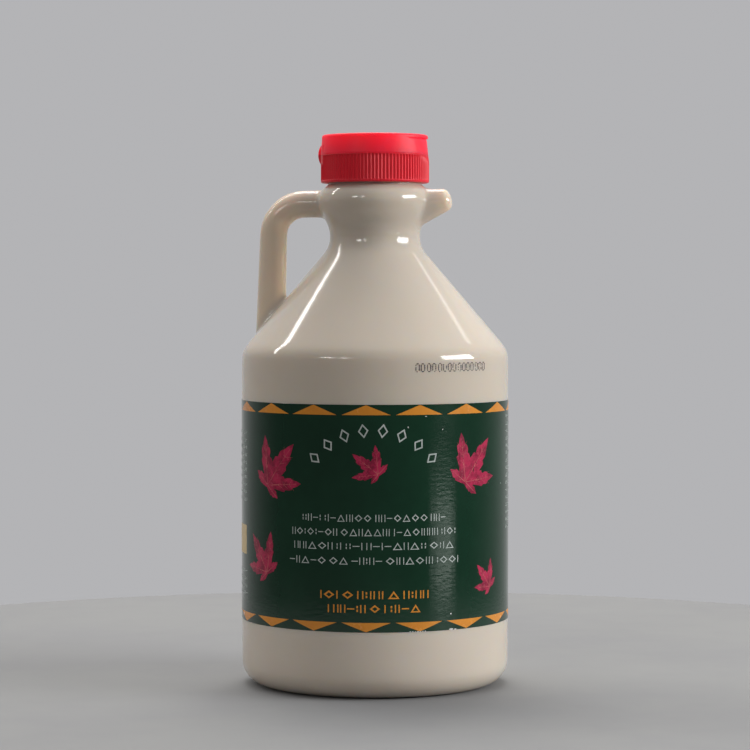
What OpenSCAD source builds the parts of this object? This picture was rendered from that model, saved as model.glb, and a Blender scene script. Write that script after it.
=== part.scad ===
// Round one-litre syrup jug with a loop handle, a pouring stub, a ribbed
// flip-top closure and a wrap-around label.
// The origin is the centre of the base on the jug's axis, and +Z is up.
// The handle lies toward -X, the pouring stub toward +X, the front toward -Y.

/* [Body] */
// Outer diameter of the straight wall
body_d = 100; // [80:1:130]
// Height at which the straight wall would meet the sloping shoulder
shoulder_z = 125; // [95:1:170]
// Slope of the shoulder, measured from the vertical
shoulder_angle = 40.4; // [32:0.1:50]
// Rounding between wall and shoulder
shoulder_round = 9; // [4:0.5:14]
// Rounding between wall and base
base_round = 9; // [4:0.5:12]
// Width of the flat ring that the jug stands on
standing_ring_w = 5; // [3:0.5:10]
// Height of the recess under the base
push_up = 2; // [1:0.5:4]

/* [Neck] */
// Narrowest diameter, under the collar
waist_d = 33.7; // [28:0.1:38]
// Height of the waist between the shoulder's slope and the collar's slope
waist_h = 6.9; // [6.6:0.1:14]
// Rounding from the shoulder into the waist
waist_low_round = 8.9; // [4:0.1:9]
// Rounding from the waist into the collar
waist_high_round = 11.4; // [5:0.1:11.5]
// Slope of the collar's underside, measured from the vertical
collar_angle = 30; // [20:1:38]
// Largest diameter of the collar
collar_d = 42.2; // [40:0.1:56]
// Height of the collar's side
collar_side_h = 6.9; // [6.8:0.1:12]
// Rounding under the collar's side
collar_low_round = 8; // [3:0.5:8]
// Rounding over the collar's side
collar_high_round = 5.6; // [2:0.1:5.6]
// Slope of the collar's crown, measured from the vertical
crown_angle = 63; // [50:1:75]
// Diameter of the neck that the closure sits on
neck_d = 35.2; // [32:0.1:37]

/* [Handle] */
// Distance from the body's side in to the handle's outer face at the elbow
handle_inset = 5.7; // [3:0.1:12]
// Distance from the body's side in to the handle's centre at its foot
foot_inset = 9.3; // [8:0.1:16]
// Depth of the handle's foot below the shoulder's corner
foot_sink = 3; // [2:0.5:6]
// Thickness of the handle at the collar and the elbow
handle_top_d = 10.2; // [7:0.1:12]
// Thickness of the handle at its foot
handle_foot_d = 11.3; // [8:0.1:13]
// Radius of the elbow along the middle of the handle
elbow_r = 11.9; // [8:0.1:14]
// Distance from the collar's crown down to the middle of the handle
handle_drop = 6.9; // [6:0.1:9]

/* [Pouring stub] */
// Distance that the stub stands out from the collar
stub_reach = 8.4; // [4:0.1:16]
// Thickness of the stub at its tip
stub_tip_d = 7.4; // [6:0.1:9]
// Rounding of the tip
stub_round = 3.3; // [1:0.1:3.5]
// Half of the angle by which the stub widens toward the neck
stub_taper = 14; // [8:1:16]
// Distance from the collar's crown down to the stub's level top
stub_drop = 1.5; // [0.5:0.1:3]
// Depth that the stub's root reaches into the collar
stub_bite = 6.6; // [5:0.1:9]

/* [Closure] */
// Diameter of the closure over its ribs
closure_d = 40.6; // [40:0.1:48]
// Gap between the collar's crown and the closure's lower edge
closure_gap = 0.75; // [0.3:0.05:2]
// Height of the ribbed skirt
skirt_h = 10.5; // [8:0.1:16]
// Thickness of the skirt's top deck
deck_t = 2; // [1:0.1:3]
// Clearance between the neck and the closure
closure_clearance = 0.2; // [0.1:0.05:0.4]
// Number of ribs around the skirt
rib_count = 96; // [48:4:120]
// Depth of the grooves between the ribs
rib_depth = 0.35; // [0.2:0.05:0.6]
// Height of the plain band below the ribs
lower_band_h = 0.9; // [0.5:0.1:2]
// Height of the plain band above the ribs
upper_band_h = 0.35; // [0.2:0.05:1]
// Rounding of the skirt's lower edge
skirt_round = 0.7; // [0.3:0.1:0.8]

/* [Lid] */
// Height of the lid
lid_h = 7.5; // [6:0.1:12]
// Amount that the lid's radius narrows toward its top
lid_draft = 0.45; // [0:0.05:1]
// Rounding of the lid's top edge
lid_round = 0.9; // [0.3:0.1:1.5]
// Chamfer along the seam between lid and skirt
seam_chamfer = 0.2; // [0.1:0.05:0.4]
// Thickness of the lifting lip over the thumb recess
lip_t = 1.5; // [1:0.1:3]
// Depth of the thumb recess just under the lip
recess_depth = 1; // [0.5:0.1:1.5]
// Distance that the thumb recess runs down past the seam
recess_run = 2.2; // [1:0.1:4]
// Distance by which the recess's own axis lies behind the closure's axis
recess_offset = 4.5; // [3:0.1:8]
// Height of the hinge's round back
hinge_h = 7.2; // [5:0.1:9]
// Width of the hinge
hinge_w = 9; // [6:0.5:14]
// Distance that the hinge stands out
hinge_proud = 1.05; // [0.5:0.05:1.5]

/* [Label] */
// Height of the label's lower edge
label_z = 24.9; // [12:0.1:60]
// Distance from the label's upper edge up to the shoulder's corner
label_top_margin = 18.3; // [14:0.1:40]
// Thickness of the label film
label_t = 0.15; // [0.1:0.01:0.3]
// Clearance between the body and the label film
label_clearance = 0.03; // [0.01:0.01:0.06]

/* [Hidden] */

JUG_COLOUR = [0.80, 0.74, 0.65];
LABEL_COLOUR = [0.05, 0.21, 0.13];
CLOSURE_COLOUR = [0.85, 0.08, 0.14];
EPS = 0.01;
ARC_STEP = 6;

body_r = body_d / 2;
waist_r = waist_d / 2;
collar_r = collar_d / 2;
neck_r = neck_d / 2;
closure_r = closure_d / 2;

// Heights of the corners, from the shoulder up
waist_low_z = shoulder_z + (body_r - waist_r) / tan(shoulder_angle);
waist_high_z = waist_low_z + waist_h;
collar_low_z = waist_high_z + (collar_r - waist_r) / tan(collar_angle);
collar_high_z = collar_low_z + collar_side_h;
crown_z = collar_high_z + (collar_r - neck_r) / tan(crown_angle);
skirt_z = crown_z + closure_gap;
seam_z = skirt_z + skirt_h;
top_z = seam_z + lid_h;
neck_top_z = seam_z - deck_t;

// Handle
handle_z = crown_z - handle_drop;
elbow_x = body_r - handle_inset - handle_top_d / 2;
foot_x = body_r - foot_inset;
foot_z = shoulder_z - foot_sink;
elbow_centre = [-(elbow_x - elbow_r), handle_z - elbow_r];
leg_lean = atan((foot_x - elbow_x) / (elbow_centre.y - foot_z));
leg_top = elbow_centre + elbow_r * [-cos(leg_lean), sin(leg_lean)];
leg_len = (leg_top.y - foot_z) / cos(leg_lean);
handle_root_x = waist_r / 2;
// The elbow is a hair thicker than its neighbours, whose ends lap into it
elbow_swell = 0.02;
elbow_lap = 0.4;

// Label
label_h = shoulder_z - label_top_margin - label_z;

// Pouring stub
stub_x = collar_r + stub_reach;
stub_tip_r = stub_tip_d / 2;
stub_len = (stub_reach + stub_bite) / cos(stub_taper);
stub_tip_z = crown_z - stub_drop - stub_tip_r * cos(stub_taper);

// Closure
socket_r = neck_r + closure_clearance;
groove_r = closure_r - rib_depth;
rib_inset = 0.05;
rib_land = 0.2;
lid_r = closure_r - rib_inset;
hinge_r = (pow(hinge_h / 2, 2) + pow(hinge_proud, 2)) / (2 * hinge_proud);
hinge_bite = (closure_r - socket_r) / 2;

function unit(v) = v / norm(v);

// Points of one corner [x, y, rounding] between its two neighbours: the corner
// itself, or an arc of the given rounding that touches both sides.
function corner(a, b, c) =
    b.z == 0 ? [[b.x, b.y]] :
    let (
        p = [b.x, b.y],
        u = unit([a.x, a.y] - p),
        w = unit([c.x, c.y] - p),
        half = acos(u * w) / 2,
        centre = p + unit(u + w) * b.z / sin(half),
        first = p + u * b.z / tan(half) - centre,
        turn = (u.x * w.y - u.y * w.x > 0 ? -1 : 1) * (180 - 2 * half),
        steps = max(2, ceil(abs(turn) / ARC_STEP)),
        start = atan2(first.y, first.x)
    )
    [for (i = [0 : steps]) centre + b.z * [cos(start + turn * i / steps), sin(start + turn * i / steps)]];

// A closed outline with each corner [x, y, rounding] rounded
function rounded(corners) =
    let (n = len(corners))
    [for (i = [0 : n - 1]) each corner(corners[(i + n - 1) % n], corners[i], corners[(i + 1) % n])];

// A solid turned from an outline of corners [radius, height, rounding]
module turned(corners) {
    rotate_extrude($fn = 120) polygon(rounded(corners));
}

// The blow-moulded bottle: body, shoulder, waist, collar and neck in one turn
module bottle() {
    ring_outer_r = body_r - base_round;
    ring_inner_r = ring_outer_r - standing_ring_w;
    turned([
        [0, push_up, 0],
        [ring_inner_r - push_up, push_up, 0],
        [ring_inner_r, 0, 0],
        [body_r, 0, base_round],
        [body_r, shoulder_z, shoulder_round],
        [waist_r, waist_low_z, waist_low_round],
        [waist_r, waist_high_z, waist_high_round],
        [collar_r, collar_low_z, collar_low_round],
        [collar_r, collar_high_z, collar_high_round],
        [neck_r, crown_z, 0],
        [neck_r, neck_top_z, 0],
        [0, neck_top_z, 0]
    ]);
}

// The loop handle: a level run out of the collar, an elbow, and a leg that
// thickens down to its foot in the shoulder
module handle() {
    handle_r = handle_top_d / 2;
    translate([elbow_centre.x - elbow_lap, 0, handle_z])
        rotate([0, 90, 0])
        cylinder(r = handle_r, h = elbow_lap - elbow_centre.x - handle_root_x, $fn = 64);
    translate([elbow_centre.x, 0, elbow_centre.y])
        rotate([90, 0, 0])
        rotate([0, 0, 90])
        rotate_extrude(angle = 90 - leg_lean, $fn = 96)
        translate([elbow_r, 0])
        circle(r = handle_r + elbow_swell, $fn = 64);
    translate([leg_top.x, 0, leg_top.y])
        rotate([0, 180 + leg_lean, 0])
        translate([0, 0, -elbow_lap])
        cylinder(r1 = handle_r, r2 = handle_foot_d / 2, h = leg_len + elbow_lap, $fn = 64);
}

// The pouring stub: a round-ended cone whose upper side is level
module pouring_stub() {
    translate([stub_x, 0, stub_tip_z])
        rotate([0, -90 - stub_taper, 0])
        turned([
            [0, 0, 0],
            [stub_tip_r, 0, stub_round],
            [stub_tip_r + stub_len * tan(stub_taper), stub_len, 0],
            [0, stub_len, 0]
        ]);
}

module jug() {
    color(JUG_COLOUR) {
        bottle();
        handle();
        pouring_stub();
    }
}

module label() {
    color(LABEL_COLOUR)
        translate([0, 0, label_z])
        difference() {
            cylinder(r = body_r + label_clearance + label_t, h = label_h, $fn = 180);
            translate([0, 0, -EPS])
                cylinder(r = body_r + label_clearance, h = label_h + 2 * EPS, $fn = 180);
        }
}

// The round-backed hinge between two heights, on the handle's side
module hinge(low_z, high_z) {
    inner_x = closure_r - hinge_bite;
    intersection() {
        translate([hinge_r - hinge_proud - closure_r, 0, seam_z])
            rotate([90, 0, 0])
            cylinder(r = hinge_r, h = hinge_w, center = true, $fn = 90);
        translate([-inner_x - 2 * hinge_h, -hinge_w, low_z])
            cube([2 * hinge_h, 2 * hinge_w, high_z - low_z]);
    }
}

// What the thumb recess takes away: all that lies outside a slanting surface
// whose axis is behind the closure's own
module thumb_recess() {
    low_z = seam_z - recess_run;
    high_z = top_z - lip_t;
    reach_r = closure_r + recess_offset;
    translate([-recess_offset, 0, low_z])
        difference() {
            translate([0, -closure_r, 0]) cube([2 * closure_r, closure_d, high_z - low_z]);
            translate([0, 0, -EPS])
                cylinder(r1 = reach_r, r2 = reach_r - recess_depth, h = high_z - low_z + 2 * EPS, $fn = 120);
        }
}

// The toothed ring of ribs
module ribs() {
    crest_r = closure_r - rib_inset;
    pitch = 360 / rib_count;
    outline = [
        for (i = [0 : rib_count - 1])
            for (point = [[groove_r, -0.5], [crest_r, -0.22], [crest_r, 0.22]])
                point[0] * [cos((i + point[1]) * pitch), sin((i + point[1]) * pitch)]
    ];
    translate([0, 0, skirt_z + lower_band_h - rib_land])
        linear_extrude(skirt_h - lower_band_h - upper_band_h + 2 * rib_land)
        difference() {
            polygon(outline);
            circle(r = (socket_r + groove_r) / 2, $fn = 96);
        }
}

module cap() {
    color(CLOSURE_COLOUR)
        difference() {
            union() {
                turned([
                    [socket_r, skirt_z, 0],
                    [closure_r, skirt_z, skirt_round],
                    [closure_r, skirt_z + lower_band_h, 0],
                    [groove_r, skirt_z + lower_band_h, 0],
                    [groove_r, seam_z - upper_band_h, 0],
                    [closure_r, seam_z - upper_band_h, 0],
                    [closure_r, seam_z, 0],
                    [0, seam_z, 0],
                    [0, neck_top_z, 0],
                    [socket_r, neck_top_z, 0]
                ]);
                ribs();
                hinge(seam_z - hinge_h, seam_z);
            }
            thumb_recess();
        }
}

module lid() {
    color(CLOSURE_COLOUR)
        difference() {
            union() {
                turned([
                    [0, seam_z, 0],
                    [lid_r - seam_chamfer, seam_z, 0],
                    [lid_r, seam_z + seam_chamfer, 0],
                    [lid_r - lid_draft, top_z, lid_round],
                    [0, top_z, 0]
                ]);
                hinge(seam_z, seam_z + hinge_h);
            }
            thumb_recess();
        }
}

jug();
label();
cap();
lid();
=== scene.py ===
"""A round one-litre syrup jug: blown bottle, wrap-around label and flip-top closure.

The jug stands on its base at the origin with +Z up. The handle lies toward -X
and the pouring stub toward +X. All lengths are in metres unless a name ends in
_mm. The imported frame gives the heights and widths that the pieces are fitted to.
"""
import logging
import math
import random
from dataclasses import dataclass, field
from enum import Enum
from typing import Callable, Iterable, Sequence

import bmesh
import bpy
from bmesh.types import BMEdge, BMesh, BMFace, BMVert
from mathutils import Matrix, Vector


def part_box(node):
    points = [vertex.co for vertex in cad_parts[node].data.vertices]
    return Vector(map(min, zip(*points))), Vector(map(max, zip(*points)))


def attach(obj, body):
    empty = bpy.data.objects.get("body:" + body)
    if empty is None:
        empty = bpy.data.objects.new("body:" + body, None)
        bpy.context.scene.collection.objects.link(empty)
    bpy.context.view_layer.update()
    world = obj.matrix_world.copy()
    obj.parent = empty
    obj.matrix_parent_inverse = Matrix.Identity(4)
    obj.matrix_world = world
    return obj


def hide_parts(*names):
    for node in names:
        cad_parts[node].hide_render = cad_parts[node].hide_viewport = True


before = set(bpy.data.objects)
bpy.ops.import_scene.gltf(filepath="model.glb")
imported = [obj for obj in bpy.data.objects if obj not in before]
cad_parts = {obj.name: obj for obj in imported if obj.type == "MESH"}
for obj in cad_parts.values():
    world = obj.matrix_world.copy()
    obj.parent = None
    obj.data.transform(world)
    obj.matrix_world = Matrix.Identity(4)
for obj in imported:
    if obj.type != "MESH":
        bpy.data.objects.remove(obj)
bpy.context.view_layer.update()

MM = 0.001
TAU = 2 * math.pi
UP = Vector((0, 0, 1))
ASIDE = Vector((0, 1, 0))
WELD = 1e-6
ROOT = "root"

Colour = tuple[float, float, float]
Span = tuple[float, float]
Ring = list[Vector]
Socket = bpy.types.NodeSocket
Tree = bpy.types.NodeTree

log = logging.getLogger("jug")


# ---------------------------------------------------------------- turned shapes


@dataclass(frozen=True)
class Corner:
    """A corner of a turned outline: where it is, its rounding, and how finely it is cut."""

    radius: float
    height: float
    rounding: float = 0.0
    steps: int = 1
    cuts: int = 1

    @property
    def point(self) -> Vector:
        """The sharp corner as a point (radius, height)."""
        return Vector((self.radius, self.height))

    def arc(self, before: "Corner", after: "Corner") -> list[Vector]:
        """Rounds the corner.

        Args:
            before: The corner that the outline comes from.
            after: The corner that it goes on to.

        Returns:
            The points of the arc, or the corner alone if it isn't rounded.
        """
        if not self.rounding:
            return [self.point]
        back = (before.point - self.point).normalized()
        on = (after.point - self.point).normalized()
        half = back.angle(on) / 2
        centre = self.point + (back + on).normalized() * self.rounding / math.sin(half)
        first = self.point + back * self.rounding / math.tan(half) - centre
        turn = (math.pi - 2 * half) * (-1 if back.cross(on) > 0 else 1)
        return [
            centre + Matrix.Rotation(turn * k / self.steps, 2) @ first for k in range(self.steps + 1)
        ]


def rounded(corners: Sequence[Corner]) -> list[Vector]:
    """Draws an outline with its corners rounded and its sides cut.

    Args:
        corners: The corners in order. The outline is closed for rounding only.

    Returns:
        Points (radius, height) from the first corner to the last.
    """
    count = len(corners)
    arcs = [
        corner.arc(corners[i - 1], corners[(i + 1) % count]) for i, corner in enumerate(corners)
    ]
    points: list[Vector] = []
    for i, arc in enumerate(arcs):
        points += arc
        if i + 1 < count:
            cuts = corners[i].cuts
            points += [arc[-1].lerp(arcs[i + 1][0], k / cuts) for k in range(1, cuts)]
    return points


def turned(points: Sequence[Vector], steps: int, closed: bool = False) -> BMesh:
    """Turns an outline round the upright axis.

    Args:
        points: Points (radius, height). An open outline starts and ends on the axis.
        steps: Number of steps round the axis.
        closed: Whether the last point joins the first, as on a ring.

    Returns:
        A closed mesh with its faces outward.
    """
    bm = bmesh.new()
    verts = [bm.verts.new((point.x, 0, point.y)) for point in points]
    edges = [bm.edges.new(pair) for pair in zip(verts, verts[1:])]
    if closed:
        edges.append(bm.edges.new((verts[-1], verts[0])))
    bmesh.ops.spin(
        bm, geom=verts + edges, cent=(0, 0, 0), axis=UP, dvec=(0, 0, 0), angle=TAU,
        steps=steps, use_merge=True, use_normal_flip=False, use_duplicate=False,
    )
    bmesh.ops.remove_doubles(bm, verts=bm.verts, dist=WELD)
    bmesh.ops.recalc_face_normals(bm, faces=bm.faces)
    return bm


def smoothstep(value: float, low: float, high: float) -> float:
    """Rises smoothly from 0 at low to 1 at high."""
    t = min(1.0, max(0.0, (value - low) / (high - low)))
    return t * t * (3 - 2 * t)


def swell(segments: int) -> float:
    """How much a ring of so many segments is widened, so that its subdivided form has the true radius."""
    return 3 / (2 + math.cos(TAU / segments))


# ---------------------------------------------------------------- shader groups


class NodeDesk:
    """Places and joins nodes in one node tree."""

    def __init__(self, tree: Tree) -> None:
        """Takes the tree that the nodes go into."""
        self.tree = tree

    def add(self, kind: str, **settings: object) -> bpy.types.Node:
        """Adds a node.

        Args:
            kind: The node's type name.
            settings: Its properties by name.

        Returns:
            The new node.
        """
        node = self.tree.nodes.new(kind)
        for key, value in settings.items():
            setattr(node, key, value)
        return node

    def feed(self, node: bpy.types.Node, **values: object) -> bpy.types.Node:
        """Sets or links a node's inputs.

        Args:
            node: The node whose inputs are fed.
            values: A value or an output socket for each input, with _ for a space in its name.

        Returns:
            The same node.
        """
        for key, value in values.items():
            socket = self._socket(node, key.replace("_", " "))
            if isinstance(value, Socket):
                self.tree.links.new(value, socket)
            else:
                socket.default_value = value
        return node

    @staticmethod
    def _socket(node: bpy.types.Node, name: str) -> Socket:
        """Finds an input of a node.

        Args:
            node: The node.
            name: The input's name, or its number as in "in 0".

        Returns:
            The enabled input of that name, or the input with that number.
        """
        if name.startswith("in "):
            return node.inputs[int(name[3:])]
        return next(s for s in node.inputs if s.name == name and s.enabled)

    def noise(self, vector: Socket, scale: object, detail: float) -> Socket:
        """The value of a noise texture on a vector."""
        node = self.add("ShaderNodeTexNoise")
        return self.feed(node, Vector=vector, Scale=scale, Detail=detail).outputs["Fac"]

    def math(self, operation: str, first: object, second: object = 0.0, clamp: bool = False) -> Socket:
        """The result of a Math node."""
        node = self.add("ShaderNodeMath", operation=operation, use_clamp=clamp)
        return self.feed(node, in_0=first, in_1=second).outputs[0]

    def plus(self, first: object, second: object) -> Socket:
        """The sum of two values."""
        return self.math("ADD", first, second)

    def times(self, first: object, second: object) -> Socket:
        """The product of two values."""
        return self.math("MULTIPLY", first, second)

    def span(self, value: object, ends: Span, low: object, high: object) -> Socket:
        """Maps a value smoothly from one range to another.

        Args:
            value: The value.
            ends: The range that it comes from.
            low: What it becomes at the first end.
            high: What it becomes at the second end.

        Returns:
            The mapped value.
        """
        node = self.add("ShaderNodeMapRange", interpolation_type="SMOOTHSTEP")
        self.feed(node, Value=value, From_Min=ends[0], From_Max=ends[1], To_Min=low, To_Max=high)
        return node.outputs["Result"]

    def mix(self, factor: object, first: object, second: object) -> Socket:
        """A mix of two colours."""
        node = self.add("ShaderNodeMix", data_type="RGBA")
        return self.feed(node, in_0=factor, in_6=first, in_7=second).outputs[2]

    def axes(self, vector: Socket) -> bpy.types.NodeOutputs:
        """The X, Y and Z of a vector."""
        return self.feed(self.add("ShaderNodeSeparateXYZ"), Vector=vector).outputs

    def group(self, tree: Tree, **values: object) -> Socket:
        """The result of a node group that is fed with values."""
        return self.feed(self.add("ShaderNodeGroup", node_tree=tree), **values).outputs[0]


class EffectGroups:
    """The shader node groups that several finishes share, each built once."""

    FINE_TIMES = 7.0
    BROAD_SHARE = 0.75
    PATCH_ENDS = (0.38, 0.64)
    SPECK_RARITY = 0.86
    SPECK_RAGGED_TIMES = 3.0
    SPECK_RAGGED = 0.05

    def __init__(self) -> None:
        """Starts with no group built."""
        self._built: dict[str, Tree] = {}

    def _start(
        self, name: str, numbers: Sequence[str], result: str,
    ) -> tuple[NodeDesk, bpy.types.NodeOutputs, bpy.types.Node]:
        """Starts a group that takes a vector and some numbers, and gives one number.

        Args:
            name: The group's name.
            numbers: The names of its number inputs.
            result: The name of its output.

        Returns:
            The desk for its nodes, what its input node gives, and its output node.
        """
        tree = bpy.data.node_groups.new(name, "ShaderNodeTree")
        tree.interface.new_socket("Vector", in_out="INPUT", socket_type="NodeSocketVector")
        for number in numbers:
            tree.interface.new_socket(number, in_out="INPUT", socket_type="NodeSocketFloat")
        tree.interface.new_socket(result, in_out="OUTPUT", socket_type="NodeSocketFloat")
        self._built[name] = tree
        desk = NodeDesk(tree)
        return desk, desk.add("NodeGroupInput").outputs, desk.add("NodeGroupOutput")

    def mottle(self) -> Tree:
        """Builds the group of broad, soft patches.

        Returns:
            The group, whose mask says how far the colour strays at a point, from 0 to 1.
        """
        name = "soft mottle"
        if name not in self._built:
            desk, taken, given = self._start(name, ("Scale", "Amount"), "Mask")
            broad = desk.noise(taken["Vector"], taken["Scale"], 3.0)
            fine = desk.noise(taken["Vector"], desk.times(taken["Scale"], self.FINE_TIMES), 2.0)
            blend = desk.plus(desk.times(broad, self.BROAD_SHARE), desk.times(fine, 1 - self.BROAD_SHARE))
            mask = desk.span(blend, self.PATCH_ENDS, 0.0, 1.0)
            desk.feed(given, Mask=desk.math("MULTIPLY", mask, taken["Amount"], clamp=True))
        return self._built[name]

    def skin(self) -> Tree:
        """Builds the group of a moulded or printed skin's faint relief, long waves and fine grain.

        Returns:
            The group, which gives a height in metres.
        """
        name = "moulded skin"
        if name not in self._built:
            desk, taken, given = self._start(name, ("Wave Scale", "Wave", "Grain Scale", "Grain"), "Height")
            wave = desk.noise(taken["Vector"], taken["Wave Scale"], 1.0)
            grain = desk.noise(taken["Vector"], taken["Grain Scale"], 2.0)
            waves, grains = desk.times(wave, taken["Wave"]), desk.times(grain, taken["Grain"])
            desk.feed(given, Height=desk.plus(waves, grains))
        return self._built[name]

    def dust(self) -> Tree:
        """Builds the group of sparse small specks.

        Returns:
            The group, whose mask is 1 on a speck and 0 elsewhere.
        """
        name = "dust specks"
        if name not in self._built:
            desk, taken, given = self._start(name, ("Scale", "Size"), "Mask")
            cells = desk.add("ShaderNodeTexVoronoi")
            desk.feed(cells, Vector=taken["Vector"], Scale=taken["Scale"])
            ragged = desk.noise(taken["Vector"], desk.times(taken["Scale"], self.SPECK_RAGGED_TIMES), 2.0)
            draw = desk.feed(desk.add("ShaderNodeSeparateColor"), Color=cells.outputs["Color"])
            rare = desk.math("GREATER_THAN", draw.outputs["Red"], self.SPECK_RARITY)
            edge = desk.plus(cells.outputs["Distance"], desk.times(ragged, self.SPECK_RAGGED))
            spot = desk.math("LESS_THAN", edge, taken["Size"])
            desk.feed(given, Mask=desk.times(spot, rare))
        return self._built[name]


# ---------------------------------------------------------------- finishes


@dataclass(frozen=True)
class Finish:
    """A plain moulded or printed finish: two near colours, gloss and a faint relief.

    The gloss is the range of the shader's roughness over the surface.
    """

    name: str
    colour: Colour
    stray: Colour
    mottle_scale: float = 40.0
    mottle: float = 1.0
    gloss: Span = (0.2, 0.3)
    wave_scale: float = 60.0
    wave: float = 2e-5
    grain_scale: float = 2500.0
    grain: float = 1e-6
    subsurface: float = 0.0
    subsurface_depth: Colour = (0.0, 0.0, 0.0)
    specular: float = 0.5
    glow: float = 0.0
    wear_times: float = 2.5
    wear_ends: Span = (0.3, 0.7)

    def material(self, groups: EffectGroups) -> bpy.types.Material:
        """Builds the material.

        Args:
            groups: The shared node groups.

        Returns:
            The new material.
        """
        material = bpy.data.materials.new(self.name)
        material.use_nodes = True
        material.node_tree.nodes.clear()
        desk = NodeDesk(material.node_tree)
        place = desk.add("ShaderNodeTexCoord").outputs["Object"]
        shader = desk.add("ShaderNodeBsdfPrincipled")
        desk.feed(
            shader, Subsurface_Weight=self.subsurface, Subsurface_Radius=self.subsurface_depth,
            Subsurface_Scale=1.0, Specular_IOR_Level=self.specular, Emission_Strength=self.glow,
        )
        mask = desk.group(groups.mottle(), Vector=place, Scale=self.mottle_scale, Amount=self.mottle)
        colour = self.tinted(desk, groups, place, desk.mix(mask, (*self.colour, 1), (*self.stray, 1)))
        relief = desk.group(
            groups.skin(), Vector=place, Wave_Scale=self.wave_scale, Wave=self.wave,
            Grain_Scale=self.grain_scale, Grain=self.grain,
        )
        height = self.raised(desk, place, relief)
        bump = desk.feed(desk.add("ShaderNodeBump"), Strength=1.0, Distance=1.0, Height=height)
        wear = desk.noise(place, self.mottle_scale * self.wear_times, 4.0)
        gloss = desk.span(wear, self.wear_ends, *self.gloss)
        desk.feed(shader, Base_Color=colour, Roughness=gloss, Normal=bump.outputs["Normal"])
        # A glow is painted light: the surface gives off its own colour as if it were lit.
        if self.glow:
            desk.feed(shader, Emission_Color=colour)
        desk.feed(desk.add("ShaderNodeOutputMaterial"), Surface=shader.outputs["BSDF"])
        return material

    def tinted(self, desk: NodeDesk, groups: EffectGroups, place: Socket, colour: Socket) -> Socket:
        """The colour as it is, for finishes with nothing to add."""
        return colour

    def raised(self, desk: NodeDesk, place: Socket, height: Socket) -> Socket:
        """The relief as it is, for finishes with nothing to add."""
        return height


@dataclass(frozen=True)
class BlownFinish(Finish):
    """The bottle's plastic, with light painted onto its handle and stub, and the line where the halves of its
    mould meet.

    Each span is where a mask of painted light rises or falls: along X for the handle,
    the stub and the handle's inner side, along Z for the stub's foot and the handle's
    underside, and along cone_slope * Z - X for what stands clear of the cone.
    """

    line_width: float = 0.00022
    line_height: float = 3.5e-5
    painted_light_colour: Colour = (0.80, 0.67, 0.52)
    painted_light_share: float = 0.65
    inner_painted_light_colour: Colour = (1.0, 0.88, 0.71)
    inner_painted_light_share: float = 0.85
    cone_slope: float = 0.85
    cone_ends: Span = (0.1575, 0.1610)
    handle_ends: Span = (-0.0330, -0.0240)
    stub_ends: Span = (0.0225, 0.0270)
    stub_foot: Span = (0.1650, 0.1700)
    inner_ends: Span = (-0.0385, -0.0345)
    collar_ends: Span = (-0.0300, -0.0240)
    under_ends: Span = (0.1715, 0.1760)

    def tinted(self, desk: NodeDesk, groups: EffectGroups, place: Socket, colour: Socket) -> Socket:
        """Paints light onto the handle and the stub, lighter and warmer, most of all on the handle's inner
        side.

        Args:
            desk: The desk of the material's tree.
            groups: The shared node groups.
            place: The object coordinates.
            colour: The colour so far.

        Returns:
            The colour with painted light on the handle and the stub.
        """
        # Painted light: the handle and the stub are painted lighter and warmer than the rest of the bottle.
        axes = desk.axes(place)
        rise = desk.math("SUBTRACT", desk.times(axes["Z"], self.cone_slope), axes["X"])
        clear = desk.span(rise, self.cone_ends, 0.0, 1.0)
        handle = desk.times(desk.span(axes["X"], self.handle_ends, self.painted_light_share, 0.0), clear)
        above = desk.span(axes["Z"], self.stub_foot, 0.0, 1.0)
        stub = desk.times(desk.span(axes["X"], self.stub_ends, 0.0, self.painted_light_share), above)
        colour = desk.mix(desk.plus(handle, stub), colour, (*self.painted_light_colour, 1))
        # Painted light on the handle's inner side, clear of the collar and the handle's underside.
        inner = desk.span(axes["X"], self.inner_ends, 0.0, self.inner_painted_light_share)
        apart = desk.span(axes["X"], self.collar_ends, 1.0, 0.0)
        under = desk.span(axes["Z"], self.under_ends, 1.0, 0.0)
        inside = desk.times(desk.times(inner, apart), desk.times(clear, under))
        return desk.mix(inside, colour, (*self.inner_painted_light_colour, 1))

    def raised(self, desk: NodeDesk, place: Socket, height: Socket) -> Socket:
        """Adds the parting line along the plane through the handle and the pouring stub.

        Args:
            desk: The desk of the material's tree.
            place: The object coordinates.
            height: The relief so far.

        Returns:
            The relief with the line.
        """
        across = desk.math("ABSOLUTE", desk.axes(place)["Y"])
        return desk.plus(height, desk.span(across, (0.0, self.line_width), self.line_height, 0.0))


@dataclass(frozen=True)
class DustyFinish(Finish):
    """A printed finish with sparse dust and scuffs on it."""

    dust_scale: float = 160.0
    dust_size: float = 0.055
    dust_colour: Colour = (0.30, 0.36, 0.33)

    def tinted(self, desk: NodeDesk, groups: EffectGroups, place: Socket, colour: Socket) -> Socket:
        """The colour with pale specks over it."""
        specks = desk.group(groups.dust(), Vector=place, Scale=self.dust_scale, Size=self.dust_size)
        return desk.mix(specks, colour, (*self.dust_colour, 1))


@dataclass(frozen=True)
class FilmFinish(DustyFinish):
    """The label's film, with the fine sideways ripple that its rolling leaves."""

    ripple_scale: float = 420.0
    ripple_squash: float = 2.2
    ripple: float = 2.2e-5

    def raised(self, desk: NodeDesk, place: Socket, height: Socket) -> Socket:
        """Adds the ripple.

        Args:
            desk: The desk of the material's tree.
            place: The object coordinates.
            height: The relief so far.

        Returns:
            The relief with the ripple.
        """
        squashed = desk.add("ShaderNodeVectorMath", operation="MULTIPLY")
        desk.feed(squashed, in_0=place, in_1=(1.0, 1.0, self.ripple_squash))
        ripple = desk.noise(squashed.outputs["Vector"], self.ripple_scale, 2.0)
        return desk.plus(height, desk.times(ripple, self.ripple))


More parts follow.
